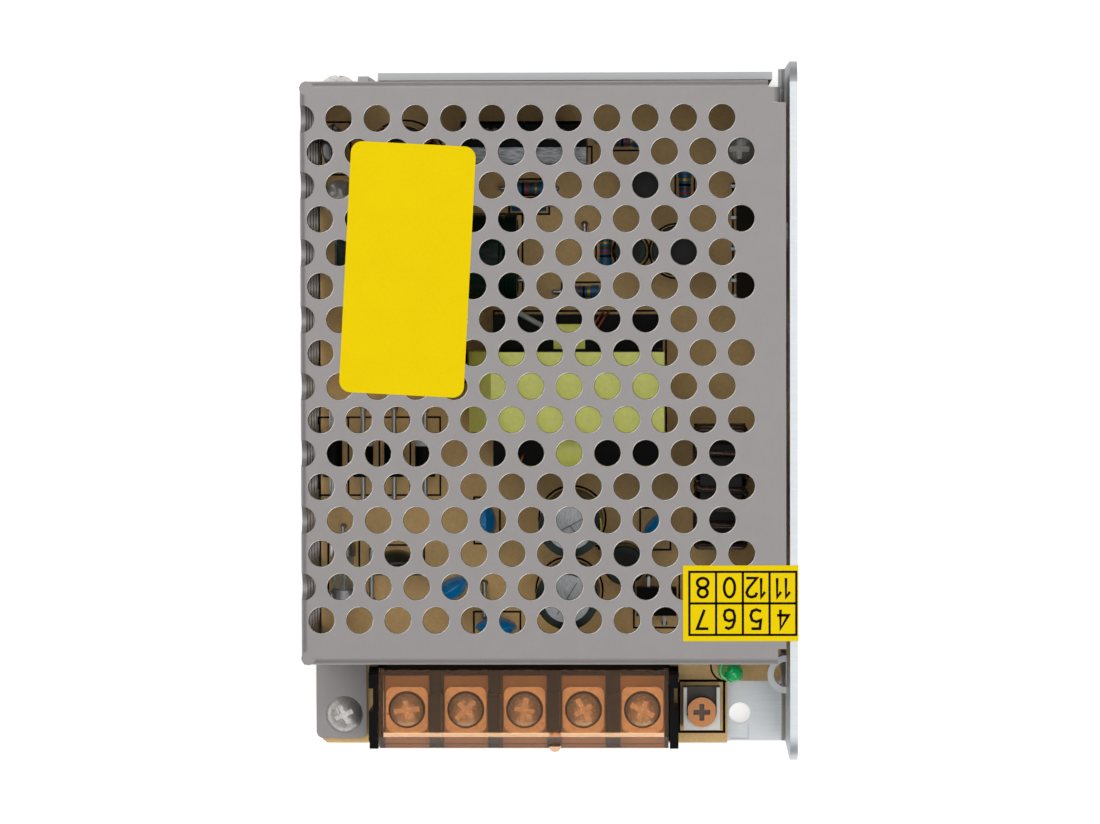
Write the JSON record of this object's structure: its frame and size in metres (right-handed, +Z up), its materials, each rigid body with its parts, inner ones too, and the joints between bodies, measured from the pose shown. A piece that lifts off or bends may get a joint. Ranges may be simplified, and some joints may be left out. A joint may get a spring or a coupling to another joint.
{
  "type": "switching power supply",
  "caption": "Flat AC-DC power supply in a perforated folded metal cover, with a covered screw terminal block, trimmer and lamp at one end.",
  "frame": {"origin": "centre of the footprint, on the underside of the base", "axes": "+Z up from the base, +Y from the terminals to the rear wall, +X towards the solid side wall"},
  "size_m": [0.0781, 0.11, 0.0361],
  "materials": {
    "bare_aluminium": "satin",
    "cover_steel": "matte",
    "black_film": "satin",
    "plated_steel": "satin",
    "board_laminate": "matte",
    "black_resin": "satin",
    "nickel_brass": "satin",
    "amber_resin": "gloss",
    "white_resin": "matte",
    "orange_resin": "matte",
    "green_lens": "gloss",
    "ferrite": "matte",
    "winding_tape": "satin",
    "dark_sleeve": "gloss",
    "can_aluminium": "satin",
    "pad_silicone": "matte",
    "enamelled_copper": "gloss",
    "yellow_resin": "satin",
    "blue_coating": "gloss",
    "fuse_glass": "gloss",
    "teal_coating": "satin",
    "tinned_wire": "satin",
    "yellow_paper": "matte"
  },
  "bodies": {
    "supply": {"chassis": "bare_aluminium", "mesh_cover": "cover_steel", "insulation_film": "black_film", "board_standoffs": "plated_steel", "circuit_board": "board_laminate", "board_screws": "plated_steel", "cover_screws": "plated_steel", "terminal_body": "black_resin", "terminal_contacts": "nickel_brass", "trimmer_body": "white_resin", "power_led": "green_lens", "transformer_core": "ferrite", "transformer_bobbin": "black_resin", "transformer_winding": "winding_tape", "transformer_tape": "winding_tape", "bulk_capacitor": "dark_sleeve", "output_capacitor_cans": "can_aluminium", "output_capacitor_sleeves": "dark_sleeve", "bridge_diodes": "black_resin", "heat_sink": "bare_aluminium", "switching_transistors": "black_resin", "transistor_screws": "plated_steel", "output_rectifier": "black_resin", "rectifier_pad": "pad_silicone", "rectifier_screw": "plated_steel", "output_choke_core": "ferrite", "output_choke_winding": "enamelled_copper", "line_choke_core": "ferrite", "line_choke_winding": "enamelled_copper", "film_capacitor": "yellow_resin", "disc_capacitors": "blue_coating", "fuse": "fuse_glass", "thermistor": "black_resin", "varistor": "black_resin", "resistors": "teal_coating", "small_capacitors": "dark_sleeve", "control_chip": "black_resin", "optocoupler": "black_resin", "wire_jumpers": "tinned_wire", "plain_label": "yellow_paper", "number_label": "yellow_paper"},
    "lid": {"terminal_cover": "amber_resin"},
    "trimmer": {"trimmer_rotor": "orange_resin"},
    "clamp_1": {"clamp_plate_1": "nickel_brass"},
    "screw_1": {"terminal_screw_1": "plated_steel"},
    "clamp_2": {"clamp_plate_2": "nickel_brass"},
    "screw_2": {"terminal_screw_2": "plated_steel"},
    "clamp_3": {"clamp_plate_3": "nickel_brass"},
    "screw_3": {"terminal_screw_3": "plated_steel"},
    "clamp_4": {"clamp_plate_4": "nickel_brass"},
    "screw_4": {"terminal_screw_4": "plated_steel"},
    "clamp_5": {"clamp_plate_5": "nickel_brass"},
    "screw_5": {"terminal_screw_5": "plated_steel"}
  },
  "joints": [
    {"name": "lid_hinge", "type": "hinge", "parent": "supply", "child": "lid", "pos_m": [-0.0045, -0.043, 0.0197], "axis": [-1, 0, 0], "range_deg": [0, 90]},
    {"name": "trimmer_turn", "type": "hinge", "parent": "supply", "child": "trimmer", "pos_m": [0.0241, -0.04935, 0.01], "axis": [0, 0, 1], "range_deg": [-115, 115]},
    {"name": "clamp_1_lift", "type": "slide", "parent": "supply", "child": "clamp_1", "axis": [0, 0, 1], "range_m": [0, 0.002]},
    {"name": "screw_1_turn", "type": "hinge", "parent": "clamp_1", "child": "screw_1", "pos_m": [-0.0235, -0.0486, 0.0153], "axis": [0, 0, 1], "range_deg": [0, 1441]},
    {"name": "clamp_2_lift", "type": "slide", "parent": "supply", "child": "clamp_2", "axis": [0, 0, 1], "range_m": [0, 0.002]},
    {"name": "screw_2_turn", "type": "hinge", "parent": "clamp_2", "child": "screw_2", "pos_m": [-0.014, -0.0486, 0.0153], "axis": [0, 0, 1], "range_deg": [0, 1441]},
    {"name": "clamp_3_lift", "type": "slide", "parent": "supply", "child": "clamp_3", "axis": [0, 0, 1], "range_m": [0, 0.002]},
    {"name": "screw_3_turn", "type": "hinge", "parent": "clamp_3", "child": "screw_3", "pos_m": [-0.0045, -0.0486, 0.0153], "axis": [0, 0, 1], "range_deg": [0, 1441]},
    {"name": "clamp_4_lift", "type": "slide", "parent": "supply", "child": "clamp_4", "axis": [0, 0, 1], "range_m": [0, 0.002]},
    {"name": "screw_4_turn", "type": "hinge", "parent": "clamp_4", "child": "screw_4", "pos_m": [0.005, -0.0486, 0.0153], "axis": [0, 0, 1], "range_deg": [0, 1441]},
    {"name": "clamp_5_lift", "type": "slide", "parent": "supply", "child": "clamp_5", "axis": [0, 0, 1], "range_m": [0, 0.002]},
    {"name": "screw_5_turn", "type": "hinge", "parent": "clamp_5", "child": "screw_5", "pos_m": [0.0145, -0.0486, 0.0153], "axis": [0, 0, 1], "range_deg": [0, 1441]}
  ],
  "couplings": [
    {"joint": "screw_1_turn", "follows": "clamp_1_lift", "rad_per_m": 12566},
    {"joint": "screw_2_turn", "follows": "clamp_2_lift", "rad_per_m": 12566},
    {"joint": "screw_3_turn", "follows": "clamp_3_lift", "rad_per_m": 12566},
    {"joint": "screw_4_turn", "follows": "clamp_4_lift", "rad_per_m": 12566},
    {"joint": "screw_5_turn", "follows": "clamp_5_lift", "rad_per_m": 12566}
  ]
}
